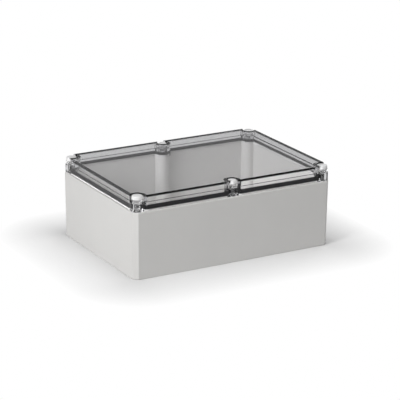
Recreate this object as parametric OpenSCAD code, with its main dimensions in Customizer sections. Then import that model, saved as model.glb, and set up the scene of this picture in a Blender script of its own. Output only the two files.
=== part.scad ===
// Electrical enclosure: a grey moulded base, a clear lid with a black seal, and six clear lid screws
// that lock with a quarter turn. The screws stand outside the seal, which bends inwards round each one.
// X runs along the length, Y along the width, Z up. The origin is the middle of the base's underside.

/* [Base] */
// Length of the base at its rim
length = 250; // [180:1:320]
// Width of the base at its rim
width = 175; // [140:1:240]
// Height of the base from its foot to the ledge under the lid
base_height = 76.5; // [60:0.5:120]
// Radius of the upright corners
corner_r = 7.5; // [7:0.5:12]
// How far each wall leans in between rim and foot
draft = 0.5; // [0.2:0.1:1]
// Thickness of the walls at the rim
wall = 4.3; // [4:0.1:4.8]
// Thickness of the floor
floor_t = 3.5; // [2.5:0.1:5]
// Rounding of the outer edge at the foot
foot_r = 1.5; // [0.5:0.1:2.5]
// Rounding of the outer edge at the rim
rim_r = 1.4; // [0.5:0.1:1.5]
// Rounding between the walls and the floor inside
floor_fillet = 2.5; // [1:0.1:3]

/* [Underside and floor] */
// Depth of the hollow under the floor
hollow_depth = 0.8; // [0.4:0.1:1.2]
// Width of the border that the base stands on
border = 10; // [6:0.5:20]
// Diameter of the wall fixing holes
fixing_d = 5; // [4:0.1:6]
// Height of the seat for the head of a wall fixing screw
fixing_seat = 6; // [4:0.5:12]
// Distance between the floor bosses along the length
boss_spacing_x = 190; // [100:1:200]
// Distance between the floor bosses along the width
boss_spacing_y = 110; // [60:1:116]
// Diameter of a floor boss
boss_d = 8; // [7:0.5:10]
// Height of a floor boss above the floor
boss_height = 7.5; // [4:0.5:12]
// Diameter of the pilot hole in a floor boss
pilot_d = 3.4; // [2.5:0.1:4]

/* [Seal] */
// Gap between the lid's skirt and the tongue
tongue_clearance = 0.5; // [0.3:0.1:0.7]
// Height of the tongue above the ledge
tongue_height = 3; // [2:0.1:4]
// Height of the pressed gasket
gasket_height = 4; // [2:0.1:5]
// Width of the groove that holds the gasket
groove = 2.5; // [2.3:0.1:3]
// Clearance on each side of the gasket in its groove
gasket_clearance = 0.1; // [0.05:0.05:0.2]

/* [Lid] */
// Height of the lid above the ledge
lid_height = 18.5; // [16.5:0.5:30]
// How far the lid stands back from the base
lid_inset = 1.6; // [1.2:0.1:1.8]
// How far the ears round the screws stand back from the base
ear_inset = 0.4; // [0.2:0.1:0.8]
// Thickness of the skirt outside the gasket
skirt = 1.2; // [1:0.1:1.4]
// Gap between the skirt and the ledge
skirt_gap = 0.3; // [0.1:0.1:0.6]
// Thickness of the lip inside the gasket
lip = 1.4; // [1:0.1:2]
// Gap between the lip and the level of the ledge
lip_gap = 0.8; // [0.4:0.1:2]
// Thickness of the flange over the gasket, which the screw heads stand on
flange = 2.5; // [2:0.1:4]
// Thickness of the raised wall
lid_wall = 3; // [2:0.1:4]
// Thickness of the window
window = 3.2; // [2:0.1:4]
// Clearance round the screw caps in the notches of the raised wall
head_clearance = 1.4; // [1:0.1:3]

/* [Lid screws] */
// Distance from the edges to the middle of a screw
screw_inset = 7.5; // [7.2:0.1:10]
// Diameter of a screw's cap
cap_d = 14.8; // [13:0.1:15.2]
// Rise of the cap's top from its edge to its middle
dome = 0.8; // [0.3:0.1:1.5]
// Rounding of the cap's edge
cap_edge_r = 1.4; // [0.5:0.1:2]
// How far the cap lies below the top of the lid
cap_drop = 0.5; // [0.2:0.1:1.5]
// Diameter of the neck under the cap
neck_d = 12.4; // [10:0.1:12.8]
// Height of the neck under the cap
neck_height = 3.5; // [1:0.1:4]
// Width of the driver slot
slot_width = 1.6; // [1:0.1:2.5]
// Depth of the driver slot
slot_depth = 1.8; // [1:0.1:2.5]
// Diameter of the shank
shank_d = 6.6; // [5:0.1:7]
// Reach of the shank below the ledge
shank_reach = 18; // [10:0.5:30]
// Clearance round the shank in the lid
shank_clearance = 0.3; // [0.2:0.05:0.4]
// Diameter of the bore in a screw column
bore_d = 8.4; // [7.8:0.1:9]
// Clearance round the lugs and the collar in the bore
bore_clearance = 0.3; // [0.2:0.05:0.5]
// Height of the locking lugs at the tip of the shank
lug_height = 3; // [2:0.1:5]
// Width of the locking lugs
lug_width = 3.6; // [2:0.1:5]
// Thickness of the column round its bore
column_wall = 3.2; // [3:0.1:4]
// Depth of the bores in the two middle columns
bore_depth = 42; // [35:0.5:48]

/* [Hidden] */
$fn = 72;
// Faces round a moulded corner of the base
moulded_fn = 48;
// Small overlap that joins solids of one piece or lets a cut run out
join = 0.5;

// Radius of a screw column, and of the bay round a screw at the outline of the base
column_r = bore_d / 2 + column_wall;
bay_r = column_r - wall;
// Distances inwards from the outline to the faces of the seal, and to the tongue
skirt_in = lid_inset + skirt;
groove_in = skirt_in + groove;
lip_in = groove_in + lip;
ledge = skirt_in + tongue_clearance;
// Rounding where the outline turns into a bay
bay_turn_r = ledge + groove + lip;
// Radius of an ear, and of the notch in the raised wall round a screw cap
ear_r = screw_inset - ear_inset;
notch_r = cap_d / 2 + head_clearance;

// Levels from the ledge upwards
tongue_top = base_height + tongue_height;
groove_top = tongue_top + gasket_height;
seat_level = groove_top + flange;
lid_top = base_height + lid_height;
window_level = lid_top - window;
cap_top = lid_top - cap_drop;

shank_hole_r = shank_d / 2 + shank_clearance;
lug_r = bore_d / 2 - bore_clearance;
// Radius of the sphere that domes the cap
dome_r = (pow(cap_d / 2, 2) + pow(dome, 2)) / (2 * dome);

// Middle of a screw: side is -1, 0 or 1 along the length, face is -1 or 1 along the width
function screw_at(side, face) = [side * (length / 2 - screw_inset), face * (width / 2 - screw_inset)];

// Outline of the enclosure, moved inwards
module outline(inset) {
    r = max(corner_r - inset, 1);
    across = [length - 2 * inset, width - 2 * inset];
    square([across.x - 2 * r, across.y], center = true);
    square([across.x, across.y - 2 * r], center = true);
    for (x = [-1, 1], y = [-1, 1])
        translate([x * (across.x / 2 - r), y * (across.y / 2 - r)])
            circle(r);
}

// Space of radius r round every screw, open towards the nearest edges
module bays(r) {
    reach = screw_inset + join;
    for (side = [-1, 0, 1], face = [-1, 1])
        translate(screw_at(side, face))
            scale([side < 0 ? -1 : 1, face]) {
                circle(r);
                translate([-r, 0])
                    square([side == 0 ? 2 * r : r + reach, reach]);
                if (side != 0)
                    translate([0, -r])
                        square([reach, r + reach]);
            }
}

// What is left between a square corner at the origin and a round of radius r in it
module corner_trim(r) {
    difference() {
        translate([-join, -join])
            square(r + join);
        translate([r, r])
            circle(r);
    }
}

// Trims the corners where an outline moved inwards turns into bays of radius r
module bay_trims(inset, r, turn) {
    edge_x = length / 2 - inset;
    edge_y = width / 2 - inset;
    for (face = [-1, 1], side = [-1, 0, 1], way = [-1, 1])
        if (side != way)
            translate([screw_at(side, face).x + way * r, face * edge_y])
                scale([way, -face])
                    corner_trim(turn);
    for (face = [-1, 1], side = [-1, 1])
        translate([side * edge_x, screw_at(side, face).y - face * r])
            scale([-side, -face])
                corner_trim(turn);
}

// Places its children at every screw of the given sides
module at_screws(sides) {
    for (side = sides, face = [-1, 1])
        translate(screw_at(side, face))
            children();
}

// Area inside a line that follows the seal at an inset and turns in round the screws
module inside_seal(inset) {
    difference() {
        outline(inset);
        bays(bay_r + inset);
        bay_trims(inset, bay_r + inset, max(bay_turn_r - inset, 0.4));
    }
}

// Area inside the raised wall of the lid, which has a round notch at every screw
module inside_wall(inset) {
    difference() {
        outline(lid_inset + inset);
        at_screws([-1, 0, 1])
            circle(notch_r + inset);
    }
}

// Outline of the lid below the notches, with an ear round every screw
module eared_outline() {
    outline(lid_inset);
    at_screws([-1, 0, 1])
        circle(ear_r);
}

// Block with leaning walls: r_low and r_high are the corner radii at foot and top, with rounded edges
module moulded_block(r_low, r_high, z_low, z_high, round_low, round_high) {
    steps = 5;
    low = [for (i = [0:steps]) let(a = -90 + 90 * i / steps)
        [r_low - round_low + round_low * cos(a), z_low + round_low + round_low * sin(a)]];
    high = [for (i = [0:steps]) let(a = 90 * i / steps)
        [r_high - round_high + round_high * cos(a), z_high - round_high + round_high * sin(a)]];
    hull()
        for (x = [-1, 1], y = [-1, 1])
            translate([x * (length / 2 - corner_r), y * (width / 2 - corner_r)])
                rotate_extrude($fn = moulded_fn)
                    polygon(concat([[0, z_low]], low, high, [[0, z_high]]));
}

// Inside of the base: leaning walls that run into the screw columns with a fillet
module cavity() {
    low_r = corner_r - wall - draft;
    intersection() {
        moulded_block(low_r, corner_r - wall, floor_t, base_height + join, min(floor_fillet, low_r), 0);
        linear_extrude(base_height + 2 * join)
            inside_seal(wall);
    }
}

// Solid parts of the base, before its holes
module base_solid() {
    difference() {
        moulded_block(corner_r - draft, corner_r, 0, base_height, foot_r, rim_r);
        cavity();
    }
    // Tongue that presses into the gasket
    translate([0, 0, base_height - join])
        linear_extrude(tongue_height + join)
            difference() {
                inside_seal(ledge);
                inside_seal(wall);
            }
    // Bosses for an inner plate
    for (x = [-1, 1], y = [-1, 1])
        translate([x * boss_spacing_x / 2, y * boss_spacing_y / 2, floor_t - join])
            cylinder(d = boss_d, h = boss_height + join);
}

module base() {
    color("#cfcfcd")
        difference() {
            base_solid();
            // Hollow under the floor, clear of the fixing holes
            translate([0, 0, -join])
                linear_extrude(hollow_depth + join)
                    difference() {
                        outline(border);
                        at_screws([-1, 1])
                            circle(fixing_d / 2 + border);
                    }
            // Bores for the screws, and the fixing holes below those in the corners
            at_screws([-1, 1]) {
                translate([0, 0, -join])
                    cylinder(d = fixing_d, h = fixing_seat + 2 * join);
                translate([0, 0, fixing_seat])
                    cylinder(d = bore_d, h = base_height);
            }
            at_screws([0])
                translate([0, 0, base_height - bore_depth])
                    cylinder(d = bore_d, h = bore_depth + join);
            // Pilot holes in the bosses
            for (x = [-1, 1], y = [-1, 1])
                translate([x * boss_spacing_x / 2, y * boss_spacing_y / 2, floor_t])
                    cylinder(d = pilot_d, h = boss_height + join);
        }
}

module lid() {
    skirt_low = base_height + skirt_gap;
    lip_low = base_height + lip_gap;
    color("#dfe6ea", 0.4)
        difference() {
            union() {
                // Skirt, with an ear round each screw
                translate([0, 0, skirt_low])
                    linear_extrude(groove_top - skirt_low)
                        difference() {
                            eared_outline();
                            inside_seal(skirt_in);
                        }
                // Lip inside the gasket
                translate([0, 0, lip_low])
                    linear_extrude(groove_top - lip_low)
                        difference() {
                            inside_seal(groove_in);
                            inside_seal(lip_in);
                        }
                // Flange over the gasket
                translate([0, 0, groove_top])
                    linear_extrude(flange)
                        difference() {
                            eared_outline();
                            intersection() {
                                inside_seal(lip_in);
                                inside_wall(lid_wall);
                            }
                        }
                // Raised wall
                translate([0, 0, seat_level])
                    linear_extrude(window_level - seat_level)
                        difference() {
                            inside_wall(0);
                            inside_wall(lid_wall);
                        }
                // Window
                translate([0, 0, window_level])
                    linear_extrude(window)
                        inside_wall(0);
                // Feet of the ears, which stand on the columns
                at_screws([-1, 0, 1])
                    translate([0, 0, base_height])
                        cylinder(r = bay_r + skirt_in - skirt_gap, h = tongue_height);
            }
            at_screws([-1, 0, 1])
                translate([0, 0, base_height - join])
                    cylinder(r = shank_hole_r, h = seat_level - base_height + 2 * join);
        }
}

module gasket() {
    color("#1c1c1c")
        translate([0, 0, tongue_top])
            linear_extrude(gasket_height)
                difference() {
                    inside_seal(skirt_in + gasket_clearance);
                    inside_seal(groove_in - gasket_clearance);
                }
}

// Half section of a screw's cap: a round edge under a shallow dome
module cap_section(height) {
    radius = cap_d / 2;
    edge = min(cap_edge_r, height);
    intersection() {
        union() {
            square([radius, height - edge]);
            square([radius - edge, height]);
            translate([radius - edge, height - edge])
                circle(edge);
        }
        translate([0, height - dome_r])
            circle(dome_r, $fn = 4 * $fn);
        square([radius, height]);
    }
}

module lid_screw(side, face) {
    cap_low = seat_level + neck_height;
    tip = base_height - shank_reach;
    color("#e6edf0", 0.5)
        translate(screw_at(side, face)) {
            difference() {
                union() {
                    // Cap on its neck
                    translate([0, 0, cap_low])
                        rotate_extrude()
                            cap_section(cap_top - cap_low);
                    translate([0, 0, seat_level])
                        cylinder(d = neck_d, h = neck_height);
                    translate([0, 0, tip])
                        cylinder(d = shank_d, h = seat_level - tip);
                }
                // Driver slot
                translate([-cap_d / 2, -slot_width / 2, cap_top - slot_depth])
                    cube([cap_d, slot_width, slot_depth]);
            }
            // Collar that keeps the screw in the lid
            translate([0, 0, base_height - 2 * lug_height])
                cylinder(r1 = shank_d / 2, r2 = lug_r, h = lug_height);
            // Lugs that lock in the column
            intersection() {
                translate([0, 0, tip])
                    cylinder(r = lug_r, h = lug_height);
                translate([-lug_r, -lug_width / 2, tip])
                    cube([2 * lug_r, lug_width, lug_height]);
            }
        }
}

base();
lid();
gasket();
lid_screw(-1, -1);  // lid_screw_front_left
lid_screw(0, -1);  // lid_screw_front_middle
lid_screw(1, -1);  // lid_screw_front_right
lid_screw(-1, 1);  // lid_screw_back_left
lid_screw(0, 1);  // lid_screw_back_middle
lid_screw(1, 1);  // lid_screw_back_right
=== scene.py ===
import math

import bmesh
import bpy
import numpy as np
from mathutils import Matrix, Vector


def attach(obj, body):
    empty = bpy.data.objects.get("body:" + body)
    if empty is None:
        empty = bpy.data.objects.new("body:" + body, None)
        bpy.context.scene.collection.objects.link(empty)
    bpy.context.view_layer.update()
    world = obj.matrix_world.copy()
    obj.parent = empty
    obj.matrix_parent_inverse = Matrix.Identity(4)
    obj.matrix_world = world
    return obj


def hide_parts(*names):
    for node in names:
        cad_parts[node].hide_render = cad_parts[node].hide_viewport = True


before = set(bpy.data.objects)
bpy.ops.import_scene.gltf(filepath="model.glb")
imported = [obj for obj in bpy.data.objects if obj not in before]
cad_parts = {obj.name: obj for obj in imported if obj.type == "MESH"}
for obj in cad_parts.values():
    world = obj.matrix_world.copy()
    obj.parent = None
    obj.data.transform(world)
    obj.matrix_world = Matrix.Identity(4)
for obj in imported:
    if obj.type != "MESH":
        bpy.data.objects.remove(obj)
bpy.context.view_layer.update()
scene = bpy.context.scene

# Sizes are in millimetres. A name that ends in _Z is a height above the underside, in _IN a distance inwards
# from the outline, and in _R a radius. Corners, columns, groove, seal, notches and screw caps differ a little
# from the solids, to come closer to the photograph.

# Base
LENGTH, WIDTH = 250.0, 175.0
FLOOR_Z, LEDGE_Z, TONGUE_Z = 3.5, 76.5, 79.5
TONGUE_IN, WALL_IN, DRAFT = 3.3, 4.3, 0.5
CORNER_FLAT, CORNER_SOFT_R, COLUMN_TURN_R = 5.0, 0.8, 0.9
FOOT_R, RIM_R, TONGUE_FOOT_R, TONGUE_EDGE_R, FLOOR_FILLET_R = 1.5, 1.4, 0.3, 0.35, 2.5
FLOOR_MARGIN = 9.0
HOLLOW_Z, HOLLOW_IN, HOLLOW_EDGE_R = 0.8, 10.0, 0.3

# Screw places, and the line of the seal, which turns in round each screw
SCREW_IN, BAY_R, BAY_TURN_R, SHARPEST_TURN_R = 7.5, 3.1, 7.2, 0.4
SCREW_X, SCREW_Y = LENGTH / 2 - SCREW_IN, WIDTH / 2 - SCREW_IN
SCREWS = {f"{face}_{side}": (x, y)
          for face, y in (("front", -SCREW_Y), ("back", SCREW_Y))
          for side, x in (("left", -SCREW_X), ("middle", 0.0), ("right", SCREW_X))}

# Bores in the columns, and bosses on the floor
BORE_R, MIDDLE_BORE_Z, DRILL_POINT = 4.2, 34.5, 1.5
LEAD_IN, LEAD_IN_Z, BORE_CUT_Z = 0.6, LEDGE_Z - 0.5, LEDGE_Z + 9.0
FIXING_R, FIXING_SEAT_Z = 2.5, 6.0
BOSS_X, BOSS_Y, BOSS_R, BOSS_Z = 95.0, 55.0, 4.0, 11.0
BOSS_FOOT, BOSS_FOOT_R, BOSS_DRAFT, BOSS_EDGE_R = 1.2, 0.8, 0.15, 0.4
PILOT_R, PILOT_Z, PILOT_POINT, PILOT_MOUTH, PILOT_MOUTH_DEPTH = 1.7, FLOOR_Z + 0.3, 0.2, 0.4, 0.5

# Lid
SKIRT_Z, LIP_Z, GROOVE_Z, SEAT_Z, WINDOW_Z, LID_Z = 76.8, 77.3, 82.9, 86.0, 91.8, 95.0
LID_IN, SKIRT_IN, GROOVE_IN, LIP_IN, LID_WALL = 1.6, 2.8, 5.3, 6.7, 3.0
NOTCH_R, NOTCH_TURN_R, MIDDLE_TIGHTER = 7.1, 0.7, 1.0
EAR_R, EAR_FOOT_R, EAR_FOOT_EDGE_R, EAR_GAP = 7.1, 5.6, 0.1, 0.05
SHANK_HOLE_R, SHANK_HOLE_PAST = 3.6, 3.0
WINDOW_MARGIN, WINDOW_FILLET_R = 4.0, 0.9
LID_EDGE_R, SEAT_R, SKIRT_EDGE_R = 0.4, 0.5, 0.3
GROOVE_MOUTH_R, GROOVE_R, LIP_EDGE_R, LIP_ROOT_R = 0.2, 0.25, 0.4, 0.3
FLANGE_LOW_R, FLANGE_EDGE_R, FLANGE_ROOT_R = 0.4, 0.15, 0.2

# Seal, which wets the groove so that no film of air shines between them
SQUEEZE_Z, WETTED = 78.2, 0.03
SEAL_TOP_R, SEAL_FOOT_R, SEAL_LIP_R = 0.25, 0.5, 0.1

# Screws
TIP_Z, NECK_Z, CAP_SIDE_Z, CAP_Z, SLOT_Z = 58.5, 89.5, 94.1, 94.9, 92.7
SHANK_R, NECK_R, CAP_R, HEAD_R, LUG_R = 3.3, 5.4, 6.5, 6.0, 3.9
TIP_EDGE_R, COLLAR_EDGE_R, NECK_EDGE_R, RIM_EDGE_R, HEAD_FOOT_R, CAP_EDGE_R = 0.5, 0.15, 0.3, 0.15, 0.2, 1.4
COLLAR_FOOT_Z, COLLAR_Z = LEDGE_Z - 6, LEDGE_Z - 3
THREAD_Z, THREAD_STEPS, THREAD_RISE, THREAD_DEPTH = LEDGE_Z - 1, 14, 0.65, 0.55
NECK_GAP, CAP_RIM, HEAD_FOOT, HEAD_FOOT_Z = 0.05, 0.5, 0.2, NECK_Z + 1.0
FLUTES = (SEAT_Z + 0.3, NECK_Z - 0.25, 18, 0.6)
LUG_HALF, LUG_LOW_Z, LUG_HIGH_Z = 1.8, TIP_Z + 0.3, TIP_Z + 3
SLOT_W, SLOT_PAST = 1.6, 2.0
DOME_START, DOME_POINTS = 0.55, 8

# Fineness of the meshes
BAY_STEPS, TURN_STEPS, EDGE_STEPS, SOFT_STEPS, EAR_STEPS, ROUND_STEPS = 24, 6, 2, 10, 79, 4
BORE_FACETS, SCREW_FACETS = 48, 144
MOULDED_SHARP, SCREW_SHARP = 32.0, 40.0
MM = 0.001
# How far a solid that cuts or joins another reaches past its face
PAST = 1.0


# Outlines: a quarter of each is drawn, always with the same count of points, so any two can be joined
def arc(centre, radius, first, last, steps):
    """Points on a circle between two angles, in degrees from the X axis."""
    return [(centre[0] + radius * math.cos(a), centre[1] + radius * math.sin(a))
            for a in np.radians(np.linspace(first, last, steps + 1))]


def whole_loop(quarter):
    """Mirrors a quarter, drawn from the middle of the back to the middle of the right, into a closed loop."""
    q = np.array(quarter)
    front_right = (q * (1, -1))[::-1][1:]
    front_left = (q * (-1, -1))[1:]
    back_left = (q * (-1, 1))[::-1][1:-1]
    return np.vstack([q, front_right, front_left, back_left])


def bay_loop(inset, bay, turn):
    """Follows the edges at an inset and turns in round each screw at the radius bay."""
    ex, ey = LENGTH / 2 - inset, WIDTH / 2 - inset
    along = bay + turn
    middle = arc((0, SCREW_Y), bay, -90, 0, BAY_STEPS)
    out = arc((along, ey - turn), turn, 180, 90, TURN_STEPS)
    back = arc((SCREW_X - along, ey - turn), turn, 90, 0, TURN_STEPS)
    corner = arc((SCREW_X, SCREW_Y), bay, 180, 270, BAY_STEPS)
    side = arc((ex - turn, SCREW_Y - along), turn, 90, 0, TURN_STEPS)
    return whole_loop(middle + out + back + corner + side + [(ex, 0)])


def seal_loop(inset):
    return bay_loop(inset, BAY_R + inset, max(BAY_TURN_R - inset, SHARPEST_TURN_R))


def cavity_loop(inset):
    return bay_loop(inset, BAY_R + inset, COLUMN_TURN_R)


def edge_loop(inset, bay, turn):
    """Follows the edges, with a flat across each corner. Its points lie like those of a bay_loop."""
    ex, ey, r = LENGTH / 2 - inset, WIDTH / 2 - inset, CORNER_SOFT_R
    along = bay + turn
    leg = CORNER_FLAT + r * math.tan(math.pi / 8)
    first, last = SCREW_X - bay, SCREW_Y - bay
    run = np.linspace(0, 1, EDGE_STEPS, endpoint=False)
    middle = [(x, ey) for x, _ in arc((0, 0), bay, -90, 0, BAY_STEPS)]
    out = [(x, ey) for x, _ in arc((along, 0), turn, 180, 90, TURN_STEPS)]
    back = [(x, ey) for x, _ in arc((SCREW_X - along, 0), turn, 90, 0, TURN_STEPS)]
    corner = [(first + s * (ex - leg - first), ey) for s in run]
    corner += arc((ex - leg, ey - r), r, 90, 45, SOFT_STEPS - 1)
    corner += arc((ex - r, ey - leg), r, 45, 0, BAY_STEPS - SOFT_STEPS - 2 * EDGE_STEPS)
    corner += [(ex, last + s * (ey - leg - last)) for s in run[::-1]]
    side = [(ex, y) for _, y in arc((0, SCREW_Y - along), turn, 90, 0, TURN_STEPS)]
    return whole_loop(middle + out + back + corner + side + [(ex, 0)])


def hollow_loop():
    """Edge of the hollow under the floor, which steps back round the fixing holes."""
    ex, ey, r = LENGTH / 2 - HOLLOW_IN, WIDTH / 2 - HOLLOW_IN, FIXING_R + HOLLOW_IN
    lean = math.asin((SCREW_Y - ey) / r)
    near, slant = r * math.cos(lean), math.degrees(lean)
    middle = [(x, ey) for x in np.linspace(0, SCREW_X - near, BAY_STEPS + 2 * TURN_STEPS + 3)]
    corner = arc((SCREW_X, SCREW_Y), r, 180 + slant, 270 - slant, BAY_STEPS)
    side = [(ex, y) for y in np.linspace(SCREW_Y - near, 0, TURN_STEPS + 2)]
    return whole_loop(middle + corner + side)


def notch_turn(inset, notch, turn):
    """Where an edge meets a round notch: how far the rounding's middle is from the screw, and its slant."""
    up = SCREW_IN - inset - turn
    along = math.sqrt((notch + turn) ** 2 - up ** 2)
    return along, math.degrees(math.atan2(up, along))


def notch_loop(inset, notch, turn):
    """Follows the edges at an inset, with a round notch round each screw, tighter round the middle ones."""
    ex, ey = LENGTH / 2 - inset, WIDTH / 2 - inset
    tight = notch - MIDDLE_TIGHTER
    along, slant = notch_turn(inset, notch, turn)
    tight_along, tight_slant = notch_turn(inset, tight, turn)
    middle = arc((0, SCREW_Y), tight, -90, tight_slant, BAY_STEPS)
    out = arc((tight_along, ey - turn), turn, 180 + tight_slant, 90, TURN_STEPS)
    back = arc((SCREW_X - along, ey - turn), turn, 90, -slant, TURN_STEPS)
    corner = arc((SCREW_X, SCREW_Y), notch, 180 - slant, 270 + slant, BAY_STEPS)
    side = arc((ex - turn, SCREW_Y - along), turn, 90 + slant, 0, TURN_STEPS)
    return whole_loop(middle + out + back + corner + side + [(ex, 0)])


def wall_loop(inset):
    return notch_loop(LID_IN + inset, NOTCH_R + inset, NOTCH_TURN_R)


def spread(points, steps):
    """Points at even distances along a line."""
    line = np.array(points)
    run = np.concatenate([[0], np.cumsum(np.linalg.norm(np.diff(line, axis=0), axis=1))])
    at = np.linspace(0, run[-1], steps + 1)
    return [(np.interp(d, run, line[:, 0]), np.interp(d, run, line[:, 1])) for d in at]


def ear_loop(inset, ear, notch, turn):
    """Follows the edges, with a round ear at each screw. Its points lie like those of a notch_loop."""
    ex, ey = LENGTH / 2 - inset, WIDTH / 2 - inset
    up = SCREW_IN - inset
    along, slant = notch_turn(inset, notch, turn)
    near = notch * math.cos(math.radians(slant))
    half = math.degrees(math.acos(up / ear))
    ring = arc((0, 0), ear, 90 + half, -half, EAR_STEPS)
    middle = [(x, SCREW_Y + y) for x, y in ring if x >= 0 and y >= up]
    middle = spread([(0, SCREW_Y + ear)] + middle + [(near, ey)], BAY_STEPS)
    corner = [(SCREW_X + x, SCREW_Y + y) for x, y in ring]
    corner = spread([(SCREW_X - near, ey)] + corner + [(ex, SCREW_Y - near)], BAY_STEPS)
    run = np.linspace(near, along, TURN_STEPS + 1)
    out = [(x, ey) for x in run]
    back = [(SCREW_X - x, ey) for x in run[::-1]]
    side = [(ex, SCREW_Y - x) for x in run]
    return whole_loop(middle + out + back + corner + side + [(ex, 0)])


# Solids: a list of levels, each a loop, its height and the rounding of the corner that the section has there
def rounded_columns(points, radii, closed):
    """Rounds each column of an array of levels by points by 3. Every level with a radius becomes several."""
    longest_share, no_length = 0.48, 1e-9
    bend = np.linspace(0, math.pi / 2, ROUND_STEPS + 1)
    levels = []
    count = len(points)
    for i, r in enumerate(radii):
        if r == 0 or (not closed and i in (0, count - 1)):
            levels.append(points[i])
            continue
        before = points[i - 1] - points[i]
        after = points[(i + 1) % count] - points[i]
        before_run = np.linalg.norm(before, axis=1)
        after_run = np.linalg.norm(after, axis=1)
        reach = np.minimum(r, longest_share * np.minimum(before_run, after_run))
        start = before * (reach / np.maximum(before_run, no_length))[:, None]
        end = after * (reach / np.maximum(after_run, no_length))[:, None]
        # On a square corner this is a circle, drawn from its two tangent points
        for a in bend:
            levels.append(points[i] + start * (1 - math.sin(a)) + end * (1 - math.cos(a)))
    return np.array(levels)


def mesh_from_levels(name, levels, closed=False):
    """Skin through levels of points. Without closed, the first and the last level get a face each."""
    weld, sliver = 2e-6, 1e-6
    count, size = levels.shape[:2]
    bm = bmesh.new()
    verts = [[bm.verts.new(p * MM) for p in level] for level in levels]
    for i in range(count if closed else count - 1):
        low, high = verts[i], verts[(i + 1) % count]
        for k in range(size):
            n = (k + 1) % size
            bm.faces.new((low[k], low[n], high[n], high[k]))
    if not closed:
        bm.faces.new(verts[0])
        bm.faces.new(verts[-1])
    bmesh.ops.remove_doubles(bm, verts=bm.verts, dist=weld)
    bmesh.ops.dissolve_degenerate(bm, edges=bm.edges, dist=sliver)
    bmesh.ops.recalc_face_normals(bm, faces=bm.faces)
    mesh = bpy.data.meshes.new(name)
    bm.to_mesh(mesh)
    bm.free()
    return mesh


def lofted(name, levels, closed=False):
    """Solid through levels of (loop, height, rounding)."""
    points = np.array([np.column_stack([loop, np.full(len(loop), z)]) for loop, z, _ in levels])
    return mesh_from_levels(name, rounded_columns(points, [r for _, _, r in levels], closed), closed)


def turned(name, profile, facets, at, flutes=(0.0, 0.0, 0, 0.0)):
    """Turned solid from a profile of (radius, height, rounding). Flutes are (low, high, count, depth)."""
    line = np.array([[[r, 0.0, z]] for r, z, _ in profile])
    line = rounded_columns(line, [f for _, _, f in profile], False)[:, 0]
    turns = np.linspace(0, 2 * math.pi, facets, endpoint=False)
    low, high, count, depth = flutes
    flute = depth * np.cos(count * turns / 2) ** 2
    levels = []
    for r, _, z in line:
        ring = r - flute * (low < z < high)
        x, y = at[0] + ring * np.cos(turns), at[1] + ring * np.sin(turns)
        levels.append(np.column_stack([x, y, np.full(facets, z)]))
    return mesh_from_levels(name, np.array(levels))


def block(name, low, high):
    corners = [(low[0], low[1]), (high[0], low[1]), (high[0], high[1]), (low[0], high[1])]
    return mesh_from_levels(name, np.array([[(x, y, z) for x, y in corners] for z in (low[2], high[2])]))


def joined(name, meshes):
    bm = bmesh.new()
    for mesh in meshes:
        bm.from_mesh(mesh)
        bpy.data.meshes.remove(mesh)
    mesh = bpy.data.meshes.new(name)
    bm.to_mesh(mesh)
    bm.free()
    return mesh


def combined(mesh, tool, operation):
    """The mesh with a tool mesh cut away from it or added to it."""
    work, other = (bpy.data.objects.new(m.name, m) for m in (mesh, tool))
    for o in (work, other):
        scene.collection.objects.link(o)
    step = work.modifiers.new("step", "BOOLEAN")
    step.operation, step.object, step.solver = operation, other, "EXACT"
    bpy.context.view_layer.update()
    made = bpy.data.meshes.new_from_object(work.evaluated_get(bpy.context.evaluated_depsgraph_get()))
    made.name = mesh.name
    for o in (work, other):
        data = o.data
        bpy.data.objects.remove(o)
        bpy.data.meshes.remove(data)
    return made


class Shade:
    """A socket of a finish, so that sums of sockets and numbers read as plain maths."""

    def __init__(self, tree, socket=None):
        self.tree, self.socket = tree, socket

    def node(self, kind, settings=None, sockets=None, out=0):
        """Adds a node: its settings first, then its sockets' values or links. Gives one of its outputs."""
        made = self.tree.nodes.new(kind)
        for key, value in (settings or {}).items():
            setattr(made, key, value)
        for key, value in (sockets or {}).items():
            if isinstance(value, Shade):
                self.tree.links.new(value.socket, made.inputs[key])
            else:
                made.inputs[key].default_value = value
        return Shade(self.tree, made.outputs[out]) if made.outputs else made

    def maths(self, operation, a, b):
        return self.node("ShaderNodeMath", {"operation": operation}, {0: a, 1: b})

    def __add__(self, other):
        return self.maths("ADD", self, other)

    def __radd__(self, other):
        return self.maths("ADD", other, self)

    def __mul__(self, other):
        return self.maths("MULTIPLY", self, other)

    def __rmul__(self, other):
        return self.maths("MULTIPLY", other, self)


def new_finish(name):
    finish = bpy.data.materials.new(name)
    finish.use_nodes = True
    finish.node_tree.nodes.clear()
    return finish, Shade(finish.node_tree)


def show(shade, surface, volume=None):
    sockets = {"Surface": surface, "Volume": volume} if volume else {"Surface": surface}
    shade.node("ShaderNodeOutputMaterial", None, sockets)


def show_lit_through(shade, skin, shadow, smoke):
    """Shows a clear skin over a slightly smoked body. Lamps shine through it, so what it covers is lit."""
    lamp_side = shade.node("ShaderNodeBsdfTransparent", None, {"Color": shadow})
    lamp = shade.node("ShaderNodeLightPath", out="Is Shadow Ray")
    body = shade.node("ShaderNodeVolumeAbsorption", None, {"Color": (0.02, 0.02, 0.05, 1), "Density": smoke})
    show(shade, shade.node("ShaderNodeMixShader", None, {0: lamp, 1: skin, 2: lamp_side}), body)


def noise_at(shade, where, scale, detail=3.0, rough=0.5):
    return shade.node("ShaderNodeTexNoise", None,
                      {"Vector": where, "Scale": scale, "Detail": detail, "Roughness": rough})


def colour_between(shade, share, first, second):
    return shade.node("ShaderNodeMix", {"data_type": "RGBA"}, {0: share, 6: first, 7: second}, out=2)


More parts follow.
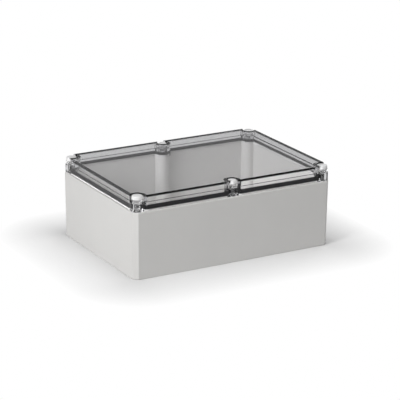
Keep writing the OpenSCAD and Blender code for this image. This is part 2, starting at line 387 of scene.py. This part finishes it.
def grey_moulding():
    """Light grey moulded plastic with the fine texture of an eroded tool."""
    finish, s = new_finish("grey_moulding")
    where = s.node("ShaderNodeTexCoord", out="Object")
    grain = noise_at(s, where, 2600.0, 2.0)
    cloud = noise_at(s, where, 22.0, 4.0, 0.6)
    upright = s.node("ShaderNodeMapping", None, {"Vector": where, "Scale": (1.0, 1.0, 0.18)})
    flow = noise_at(s, upright, 60.0, 3.0)
    share = cloud * 0.6 + flow * 0.25 + grain * 0.15
    colour = colour_between(s, share, (0.636, 0.630, 0.618, 1), (0.696, 0.690, 0.676, 1))
    bump = s.node("ShaderNodeBump", None, {"Strength": 0.16, "Distance": 0.0002, "Height": grain})
    skin = s.node("ShaderNodeBsdfPrincipled", None,
                  {"Base Color": colour, "Roughness": 0.42 + cloud * 0.1 + grain * 0.08, "Normal": bump,
                   "IOR": 1.5, "Specular IOR Level": 0.4})
    show(s, skin)
    return finish


def clear_plastic(name, tint, shadow, smoke):
    """Polished clear plastic."""
    finish, s = new_finish(name)
    where = s.node("ShaderNodeTexCoord", out="Object")
    smear = noise_at(s, where, 35.0, 4.0, 0.65)
    dust = noise_at(s, where, 900.0, 2.0)
    glass = s.node("ShaderNodeBsdfPrincipled", None,
                   {"Base Color": tint, "Roughness": 0.008 + smear * 0.014 + dust * 0.006, "IOR": 1.5,
                    "Transmission Weight": 1.0, "Specular Tint": (0.3, 0.3, 0.3, 1)})
    show_lit_through(s, glass, shadow, smoke)
    return finish


def frosted_cap(name, tint, shadow, smoke, level):
    """Clear plastic whose cap, from a level upwards, has a matt moulded skin that scatters the light."""
    finish, s = new_finish(name)
    where = s.node("ShaderNodeTexCoord", out="Object")
    dust = noise_at(s, where, 900.0, 2.0)
    cloud = noise_at(s, where, 160.0, 3.0, 0.6)
    glass = s.node("ShaderNodeBsdfPrincipled", None,
                   {"Base Color": tint, "Roughness": 0.01 + dust * 0.02, "IOR": 1.585,
                    "Transmission Weight": 1.0})
    white = colour_between(s, cloud, (0.88, 0.88, 0.88, 1), (0.96, 0.96, 0.96, 1))
    matt = s.node("ShaderNodeBsdfPrincipled", None,
                  {"Base Color": white, "Roughness": 0.28 + cloud * 0.2, "IOR": 1.585})
    height = s.node("ShaderNodeSeparateXYZ", None, {0: where}, out="Z")
    upper = s.node("ShaderNodeMapRange", {"interpolation_type": "SMOOTHSTEP"},
                   {0: height + cloud * 0.0006, 1: level - 0.0005, 2: level + 0.0011})
    skin = s.node("ShaderNodeMixShader", None, {0: upper * 0.85, 1: glass, 2: matt})
    show_lit_through(s, skin, shadow, smoke)
    return finish


def black_rubber():
    """Soft black rubber, a little cloudy."""
    finish, s = new_finish("black_rubber")
    where = s.node("ShaderNodeTexCoord", out="Object")
    grain = noise_at(s, where, 3200.0, 2.0)
    bloom = noise_at(s, where, 140.0, 4.0, 0.6)
    colour = colour_between(s, bloom, (0.008, 0.008, 0.009, 1), (0.020, 0.020, 0.021, 1))
    bump = s.node("ShaderNodeBump", None, {"Strength": 0.2, "Distance": 0.0001, "Height": grain})
    skin = s.node("ShaderNodeBsdfPrincipled", None,
                  {"Base Color": colour, "Roughness": 0.5 + bloom * 0.2, "Normal": bump, "IOR": 1.5,
                   "Specular IOR Level": 0.15})
    show(s, skin)
    return finish


def place(name, mesh, body, node, finish, sharp):
    """Shows a mesh in place of a solid, riding on its body. Edges over sharp degrees stay sharp."""
    mesh.name = name
    mesh.polygons.foreach_set("use_smooth", [True] * len(mesh.polygons))
    mesh.set_sharp_from_angle(angle=math.radians(sharp))
    mesh.materials.clear()
    mesh.materials.append(finish)
    piece = bpy.data.objects.new(name, mesh)
    scene.collection.objects.link(piece)
    even = piece.modifiers.new("even_faces", "WEIGHTED_NORMAL")
    even.keep_sharp = True
    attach(piece, body)
    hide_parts(node)


# Base: foot, leaning walls, ledge, tongue, columns and floor in one moulding
def bore_tool(x, y):
    """Bore for a screw's shank. At a corner it goes on as a fixing hole through the floor."""
    if x == 0:
        low = [(0.0, MIDDLE_BORE_Z - DRILL_POINT, 0), (BORE_R, MIDDLE_BORE_Z, 0)]
    else:
        low = [(0.0, -PAST, 0), (FIXING_R, -PAST, 0),
               (FIXING_R, FIXING_SEAT_Z, 0), (BORE_R, FIXING_SEAT_Z, 0)]
    mouth = [(BORE_R, LEAD_IN_Z, 0), (BORE_R + LEAD_IN, LEAD_IN_Z + LEAD_IN, 0),
             (BORE_R + LEAD_IN, BORE_CUT_Z, 0), (0.0, BORE_CUT_Z, 0)]
    return turned("bore", low + mouth, BORE_FACETS, (x, y))


def boss_mesh(x, y):
    """Boss on the floor with a pilot hole."""
    return turned("boss", [
        (0.0, FLOOR_Z - PAST, 0), (BOSS_R + BOSS_FOOT, FLOOR_Z - PAST, 0), (BOSS_R + BOSS_FOOT, FLOOR_Z, 0),
        (BOSS_R, FLOOR_Z + BOSS_FOOT, BOSS_FOOT_R), (BOSS_R - BOSS_DRAFT, BOSS_Z, BOSS_EDGE_R),
        (PILOT_R + PILOT_MOUTH, BOSS_Z, 0), (PILOT_R, BOSS_Z - PILOT_MOUTH_DEPTH, 0),
        (PILOT_R, PILOT_Z, 0), (0.0, PILOT_Z - PILOT_POINT, 0)], BORE_FACETS, (x, y))


def base_mesh():
    bay, turn = BAY_R + TONGUE_IN, BAY_TURN_R - TONGUE_IN
    floor_in = WALL_IN + FLOOR_MARGIN
    base = lofted("base_moulding", [
        (hollow_loop(), HOLLOW_Z, 0), (hollow_loop(), 0.0, HOLLOW_EDGE_R),
        (edge_loop(DRAFT, bay, turn), 0.0, FOOT_R), (edge_loop(0.0, bay, turn), LEDGE_Z, RIM_R),
        (seal_loop(TONGUE_IN), LEDGE_Z, TONGUE_FOOT_R), (seal_loop(TONGUE_IN), TONGUE_Z, TONGUE_EDGE_R),
        (cavity_loop(WALL_IN), TONGUE_Z, TONGUE_EDGE_R),
        (cavity_loop(WALL_IN + DRAFT), FLOOR_Z, FLOOR_FILLET_R),
        (notch_loop(floor_in, BAY_R + floor_in, COLUMN_TURN_R), FLOOR_Z, 0)])
    bores = [bore_tool(x, y) for x, y in SCREWS.values()]
    base = combined(base, joined("bores", bores), "DIFFERENCE")
    bosses = [boss_mesh(x, y) for x in (-BOSS_X, BOSS_X) for y in (-BOSS_Y, BOSS_Y)]
    return joined("base_moulding", [base] + bosses)


# Lid: window, notched wall, flange with ears, skirt, groove and lip
def ear_foot(at):
    low, high = LEDGE_Z + EAR_GAP, SKIRT_Z + PAST
    return turned("foot", [(0.0, low, 0), (EAR_FOOT_R, low, EAR_FOOT_EDGE_R), (EAR_FOOT_R, high, 0),
                           (0.0, high, 0)], BORE_FACETS, at)


def shank_hole(at):
    low, high = LEDGE_Z - SHANK_HOLE_PAST, SEAT_Z + SHANK_HOLE_PAST
    return turned("hole", [(0.0, low, 0), (SHANK_HOLE_R, low, 0), (SHANK_HOLE_R, high, 0),
                           (0.0, high, 0)], BORE_FACETS, at)


def lid_mesh():
    skirt = ear_loop(LID_IN, EAR_R, NOTCH_R, NOTCH_TURN_R)
    flange_inside = notch_loop(LIP_IN, NOTCH_R + LID_WALL, NOTCH_TURN_R)
    lid = lofted("clear_lid", [
        (wall_loop(WINDOW_MARGIN), LID_Z, 0), (wall_loop(0.0), LID_Z, LID_EDGE_R),
        (wall_loop(0.0), SEAT_Z, SEAT_R), (skirt, SEAT_Z, SEAT_R),
        (skirt, SKIRT_Z, SKIRT_EDGE_R), (seal_loop(SKIRT_IN), SKIRT_Z, GROOVE_MOUTH_R),
        (seal_loop(SKIRT_IN), GROOVE_Z, GROOVE_R), (seal_loop(GROOVE_IN), GROOVE_Z, GROOVE_R),
        (seal_loop(GROOVE_IN), LIP_Z, LIP_EDGE_R), (seal_loop(LIP_IN), LIP_Z, LIP_EDGE_R),
        (seal_loop(LIP_IN), GROOVE_Z, LIP_ROOT_R), (flange_inside, GROOVE_Z, FLANGE_LOW_R),
        (flange_inside, SEAT_Z, FLANGE_EDGE_R), (wall_loop(LID_WALL), SEAT_Z, FLANGE_ROOT_R),
        (wall_loop(LID_WALL), WINDOW_Z, WINDOW_FILLET_R), (wall_loop(LID_WALL + WINDOW_MARGIN), WINDOW_Z, 0)])
    lid = combined(lid, joined("feet", [ear_foot(at) for at in SCREWS.values()]), "UNION")
    return combined(lid, joined("holes", [shank_hole(at) for at in SCREWS.values()]), "DIFFERENCE")


# Seal: a soft strip pressed into the groove, squeezed down a little between the skirt and the tongue
def seal_mesh():
    outer, inner = seal_loop(SKIRT_IN - WETTED), seal_loop(GROOVE_IN + WETTED)
    tongue = seal_loop(TONGUE_IN - WETTED)
    return lofted("seal_strip", [
        (outer, SQUEEZE_Z, SEAL_LIP_R), (outer, GROOVE_Z + WETTED, SEAL_TOP_R),
        (inner, GROOVE_Z + WETTED, SEAL_TOP_R), (inner, TONGUE_Z, SEAL_FOOT_R),
        (tongue, TONGUE_Z, SEAL_LIP_R), (tongue, SQUEEZE_Z, SEAL_LIP_R)], closed=True)


# Screws: domed slotted cap on a fluted neck, shank with rings, a collar and locking lugs
def screw_mesh(x, y):
    less = 0.0 if x else MIDDLE_TIGHTER
    cap_r, head_r, neck_r = CAP_R - less, HEAD_R - less, NECK_R - less
    rise = CAP_Z - CAP_SIDE_Z
    dome_r = (head_r ** 2 + rise ** 2) / (2 * rise)
    dome = [(dome_r * math.sin(a), CAP_Z - dome_r + dome_r * math.cos(a), 0)
            for a in np.linspace(DOME_START * math.asin(head_r / dome_r), 0, DOME_POINTS)]
    thread = [(SHANK_R - THREAD_DEPTH * (i % 2), THREAD_Z + THREAD_RISE * i, 0) for i in range(THREAD_STEPS)]
    shank = [(0.0, TIP_Z, 0), (SHANK_R, TIP_Z, TIP_EDGE_R), (SHANK_R, COLLAR_FOOT_Z, 0),
             (LUG_R, COLLAR_Z, COLLAR_EDGE_R), (SHANK_R, COLLAR_Z, 0)]
    neck = [(SHANK_R, SEAT_Z + NECK_GAP, 0), (neck_r, SEAT_Z + NECK_GAP, NECK_EDGE_R),
            (neck_r, NECK_Z, NECK_EDGE_R)]
    cap = [(cap_r, NECK_Z, RIM_EDGE_R), (cap_r, NECK_Z + CAP_RIM, RIM_EDGE_R),
           (head_r + HEAD_FOOT, HEAD_FOOT_Z, HEAD_FOOT_R), (head_r, CAP_SIDE_Z, CAP_EDGE_R)]
    screw = turned("screw", shank + thread + neck + cap + dome, SCREW_FACETS, (x, y), FLUTES)
    lugs = block("lugs", (x - LUG_R, y - LUG_HALF, LUG_LOW_Z), (x + LUG_R, y + LUG_HALF, LUG_HIGH_Z))
    screw = combined(screw, lugs, "UNION")
    reach, half = CAP_R + PAST, SLOT_W / 2
    slot = block("slot", (x - reach, y - half, SLOT_Z), (x + reach, y + half, CAP_Z + SLOT_PAST))
    return combined(screw, slot, "DIFFERENCE")


place("base_moulding", base_mesh(), "base", "base", grey_moulding(), MOULDED_SHARP)
lid_finish = clear_plastic("lid_clear", (0.995, 0.995, 1.0, 1), (0.99, 0.99, 0.995, 1), 30.0)
place("clear_lid", lid_mesh(), "lid", "lid", lid_finish, MOULDED_SHARP)
place("seal_strip", seal_mesh(), "lid", "gasket", black_rubber(), MOULDED_SHARP)
screw_finish = frosted_cap("screw_clear", (0.98, 0.98, 0.98, 1), (0.95, 0.95, 0.95, 1), 12.0, 0.0904)
for name, (x, y) in SCREWS.items():
    body = f"screw_{name}"
    place(body, screw_mesh(x, y), body, f"lid_{body}", screw_finish, SCREW_SHARP)

# Floor and surroundings
FLOOR_HALF, FLOOR_LOW_Z, FLOOR_TOP_Z = 6000, -20, -0.05
SHADOW_HALF, SHADOW_REACH = (0.12, 0.085, 0.0), 0.08


def white_backdrop(shade, mirrored, behind):
    """One where the backdrop is looked at, a share of it in reflections and through plastic, else nought."""
    camera, glossy, through = (shade.node("ShaderNodeLightPath", out=f"Is {kind} Ray")
                               for kind in ("Camera", "Glossy", "Transmission"))
    depth = shade.node("ShaderNodeLightPath", out="Diffuse Depth")
    return (camera + glossy * mirrored + through * behind) * shade.maths("LESS_THAN", depth, 0.5)


def pale_floor():
    """Matt near the box, where its shadow falls, and white further away."""
    finish, s = new_finish("pale_floor")

    def vector(operation, sockets, out="Vector"):
        return s.node("ShaderNodeVectorMath", {"operation": operation}, sockets, out=out)

    matt = s.node("ShaderNodeBsdfDiffuse", None, {"Color": (0.85, 0.85, 0.85, 1)})
    lit = s.node("ShaderNodeEmission", None, {"Color": (1, 1, 1, 1), "Strength": 1.0})
    beside = vector("ABSOLUTE", {0: s.node("ShaderNodeTexCoord", out="Object")})
    beside = vector("MAXIMUM", {0: vector("SUBTRACT", {0: beside, 1: SHADOW_HALF}), 1: (0.0, 0.0, 0.0)})
    away = vector("LENGTH", {0: beside}, "Value")
    fade = s.node("ShaderNodeMapRange", None, {0: away, 1: 0.0, 2: SHADOW_REACH, 3: 0.0, 4: 1.0})
    show(s, s.node("ShaderNodeMixShader", None, {0: white_backdrop(s, 0.4, 0.15) * fade, 1: matt, 2: lit}))
    return finish


floor_mesh = block("floor", (-FLOOR_HALF, -FLOOR_HALF, FLOOR_LOW_Z), (FLOOR_HALF, FLOOR_HALF, FLOOR_TOP_Z))
floor_mesh.materials.append(pale_floor())
floor = bpy.data.objects.new("floor", floor_mesh)
scene.collection.objects.link(floor)

world = bpy.data.worlds.new("studio")
scene.world = world
world.use_nodes = True
world.node_tree.nodes.clear()
w = Shade(world.node_tree)
glow = 0.1 + white_backdrop(w, 1.0, 1.0) * 0.14
sky = w.node("ShaderNodeBackground", None, {"Color": (1, 1, 1, 1), "Strength": glow})
w.node("ShaderNodeOutputWorld", None, {"Surface": sky})


# Lamps and camera, in metres and watts
def softbox(name, at, aim, size, power):
    lamp = bpy.data.lights.new(name, "AREA")
    lamp.shape, lamp.size, lamp.size_y, lamp.energy = "RECTANGLE", size[0], size[1], power
    o = bpy.data.objects.new(name, lamp)
    o.location = at
    o.rotation_euler = (Vector(aim) - Vector(at)).to_track_quat("-Z", "Y").to_euler()
    scene.collection.objects.link(o)


softbox("key", (-1.47, -0.5, 0.78), (0, 0, 0.06), (0.5, 0.9), 20.0)
softbox("fill", (0.9, -1.5, 0.75), (0, 0, 0.06), (0.7, 0.7), 4.4)
softbox("overhead", (0.05, -0.25, 1.6), (0, 0, 0), (0.7, 0.7), 5.5)
softbox("right_back", (1.2, 0.9, 1.0), (0, 0, 0.06), (0.8, 0.8), 5)

# The camera was fitted to the corners of the base and the lid in the photograph
PHOTO_PX, FOCAL_PX, SENSOR_MM = 400, 1822.9, 36.0
CAMERA_AT, CAMERA_ROLL = (-0.976850, -1.714260, 0.697330), math.radians(0.55)
forward = Vector((0.47225475, 0.82406958, -0.31286543)).normalized()
right = forward.cross(Vector((0, 0, 1))).normalized()
up = right.cross(forward)
tilted_right = right * math.cos(CAMERA_ROLL) + up * math.sin(CAMERA_ROLL)
tilted_up = up * math.cos(CAMERA_ROLL) - right * math.sin(CAMERA_ROLL)
turn = Matrix((tilted_right, tilted_up, -forward)).transposed()
camera = bpy.data.objects.new("camera", bpy.data.cameras.new("camera"))
camera.data.sensor_width = SENSOR_MM
camera.data.lens = SENSOR_MM * FOCAL_PX / PHOTO_PX
camera.data.clip_end = 50
camera.matrix_world = Matrix.Translation(CAMERA_AT) @ turn.to_4x4()
scene.collection.objects.link(camera)
scene.camera = camera

scene.view_settings.view_transform = "Standard"
